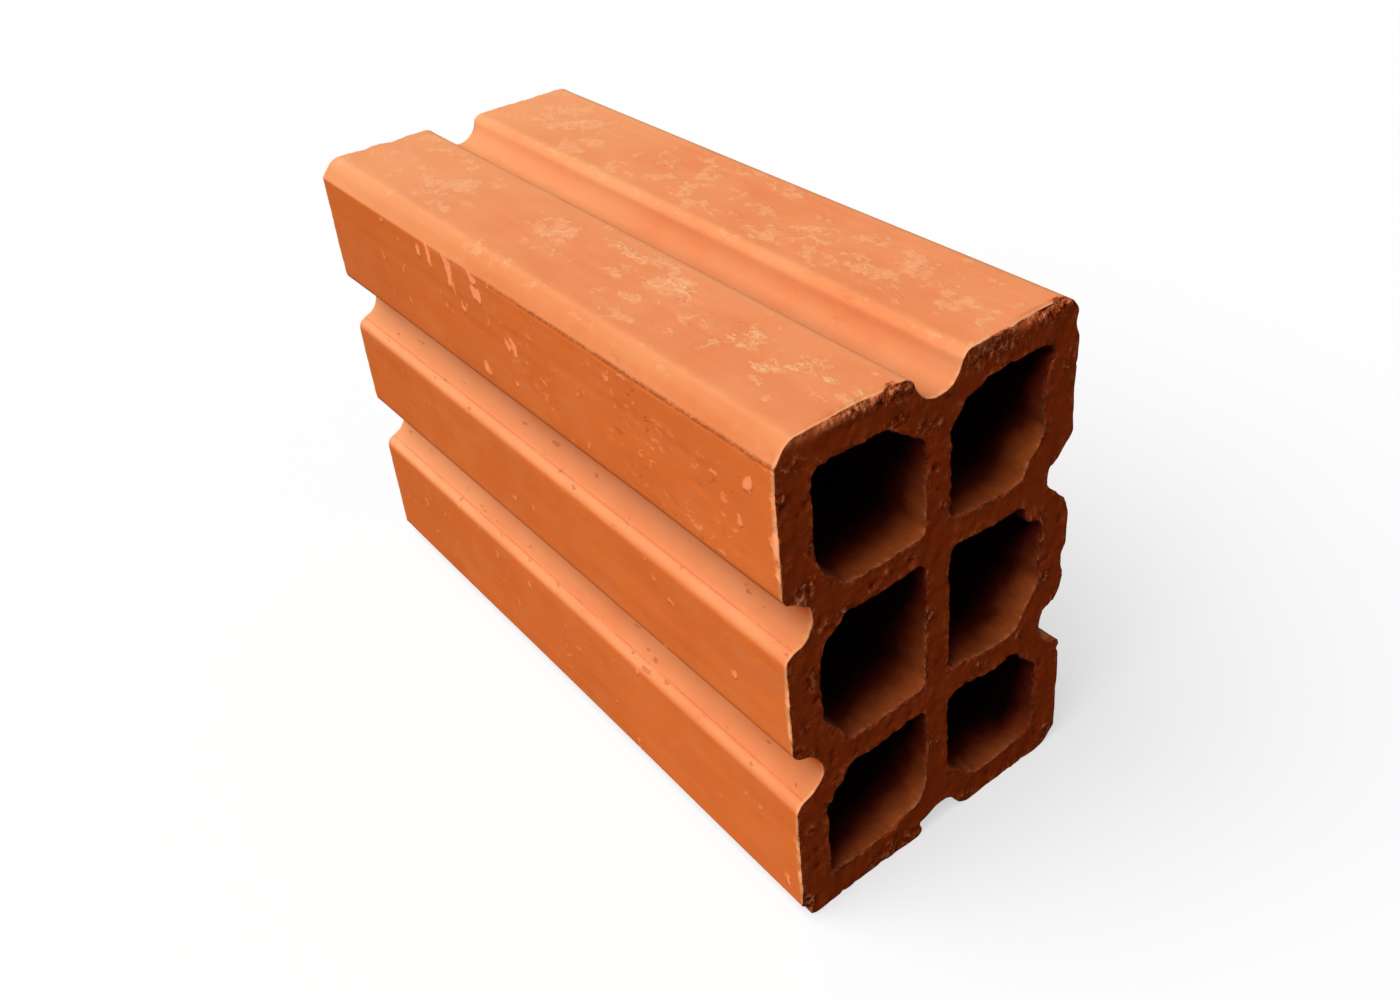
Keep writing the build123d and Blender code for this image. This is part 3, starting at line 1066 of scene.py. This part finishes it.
class BRICK_OT_body(bpy.types.Operator):
    """Build the fired body: the skin, the six cells and the two cut ends"""

    bl_idname = "brick.body"
    bl_label = "Build fired body"

    def execute(self, context):
        scene = context.scene
        surface = brick_surface(scene.brick_section, scene.brick_relief)
        mesh = make_mesh("brick_body", *surface)
        for clay in (drawn_skin, cell_clay_and_painted_light, cut_clay):
            mesh.materials.append(clay(scene.brick_colours))
        body = placed("brick_body", mesh)
        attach(body, "root")
        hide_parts(NODE)
        return {"FINISHED"}


def floor_material(tone=0.60, thrown=0.14):
    """A pale floor: the camera sees it white, with the brick's shadow.

    The light that it throws on the brick is that of a floor of the darker shade.
    """
    material = bpy.data.materials.new("pale_floor")
    material.use_nodes = True
    r = Recipe(material.node_tree)
    seen = r.node("ShaderNodeLightPath", output="Is Camera Ray")
    glow = r.node("ShaderNodeEmission", {}, {"Color": (1, 1, 1, 1), "Strength": tone})
    shaded = r.node("ShaderNodeBsdfDiffuse", {}, {"Color": (1 - tone, 1 - tone, 1 - tone, 1)})
    pale = r.node("ShaderNodeAddShader", {}, {0: glow, 1: shaded})
    quiet = r.node("ShaderNodeBsdfDiffuse", {}, {"Color": (thrown, thrown, thrown, 1)})
    mixed = r.node("ShaderNodeMixShader", {}, {0: seen, 1: quiet, 2: pale})
    r.node("ShaderNodeOutputMaterial", {}, {"Surface": mixed})
    return material


class BRICK_OT_stage(bpy.types.Operator):
    """Set the pale floor, the soft lamp, the white surround and the camera"""

    bl_idname = "brick.stage"
    bl_label = "Set the stage"

    def execute(self, context):
        scene, studio = context.scene, context.scene.studio_set

        floor_sides = 96
        turns = np.linspace(0, 2 * math.pi, floor_sides + 1)[:-1]
        rim = np.stack([np.cos(turns), np.sin(turns), 0 * turns], axis=1) * studio.floor_radius
        mesh = bpy.data.meshes.new("floor")
        mesh.from_pydata(rim.tolist(), [], [list(range(len(rim)))])
        mesh.materials.append(floor_material())
        floor = placed("floor", mesh)

        lamp = bpy.data.lights.new("soft_lamp", "SUN")
        lamp.energy = studio.lamp_strength
        lamp.angle = studio.lamp_spread
        lamp_object = placed("soft_lamp", lamp)
        lamp_object.rotation_mode = "QUATERNION"
        lamp_object.rotation_quaternion = Vector(studio.lamp_from).to_track_quat("Z", "Y")

        world = bpy.data.worlds.new("surround")
        world.use_nodes = True
        scene.world = world
        r = Recipe(world.node_tree)
        seen, glossy, through = (
            r.node("ShaderNodeLightPath", output=f"Is {ray} Ray")
            for ray in ("Camera", "Glossy", "Transmission")
        )
        direct = seen.most(glossy).most(through)
        strength = direct * (1 - studio.fill_strength) + studio.fill_strength
        sky = r.node("ShaderNodeBackground", {}, {"Color": (1, 1, 1, 1), "Strength": strength})
        r.node("ShaderNodeOutputWorld", {}, {"Surface": sky})

        camera = bpy.data.cameras.new("camera")
        camera.lens, camera.sensor_width = studio.lens, studio.sensor
        camera.shift_x, camera.shift_y = studio.shift
        camera.clip_start, camera.clip_end = 0.01, 20
        scene.camera = placed("camera", camera)
        scene.camera.matrix_world = camera_matrix(studio)
        scene.view_settings.view_transform = "Standard"
        return {"FINISHED"}


def camera_matrix(studio):
    """The camera's place and turn: looking along its heading and down, then rolled."""
    level, down = math.cos(studio.tilt), math.sin(studio.tilt)
    forward = Vector((math.cos(studio.heading) * level, math.sin(studio.heading) * level, -down))
    right = forward.cross(Vector((0, 0, 1))).normalized()
    turned = Matrix.Rotation(studio.roll, 3, forward)
    right = turned @ right
    axes = Matrix((right, right.cross(forward), -forward)).transposed()
    return Matrix.Translation(studio.camera_place) @ axes.to_4x4()


class BRICK_PT_sidebar(bpy.types.Panel):
    """Buttons and values for the brick"""

    bl_label = "Clay brick"
    bl_space_type = "VIEW_3D"
    bl_region_type = "UI"
    bl_category = "Clay brick"

    def draw(self, context):
        for operator in OPERATORS:
            self.layout.operator(operator.bl_idname)
        for name in GROUPS:
            box = self.layout.box()
            box.label(text=name.replace("_", " ").capitalize())
            group = getattr(context.scene, name)
            for value in group.bl_rna.properties.keys():
                if value not in ("rna_type", "name"):
                    box.prop(group, value)


GROUPS = {
    "brick_section": BrickSection,
    "brick_relief": BrickRelief,
    "brick_colours": BrickColours,
    "studio_set": StudioSet,
}
OPERATORS = (BRICK_OT_body, BRICK_OT_stage)


def register():
    for made in (*GROUPS.values(), *OPERATORS, BRICK_PT_sidebar):
        bpy.utils.register_class(made)
    for name, group in GROUPS.items():
        setattr(bpy.types.Scene, name, PointerProperty(type=group))


def unregister():
    for name in GROUPS:
        delattr(bpy.types.Scene, name)
    for made in (BRICK_PT_sidebar, *OPERATORS, *GROUPS.values()):
        bpy.utils.unregister_class(made)


def main():
    register()
    bpy.ops.brick.body()
    bpy.ops.brick.stage()


if __name__ == "__main__":
    main()
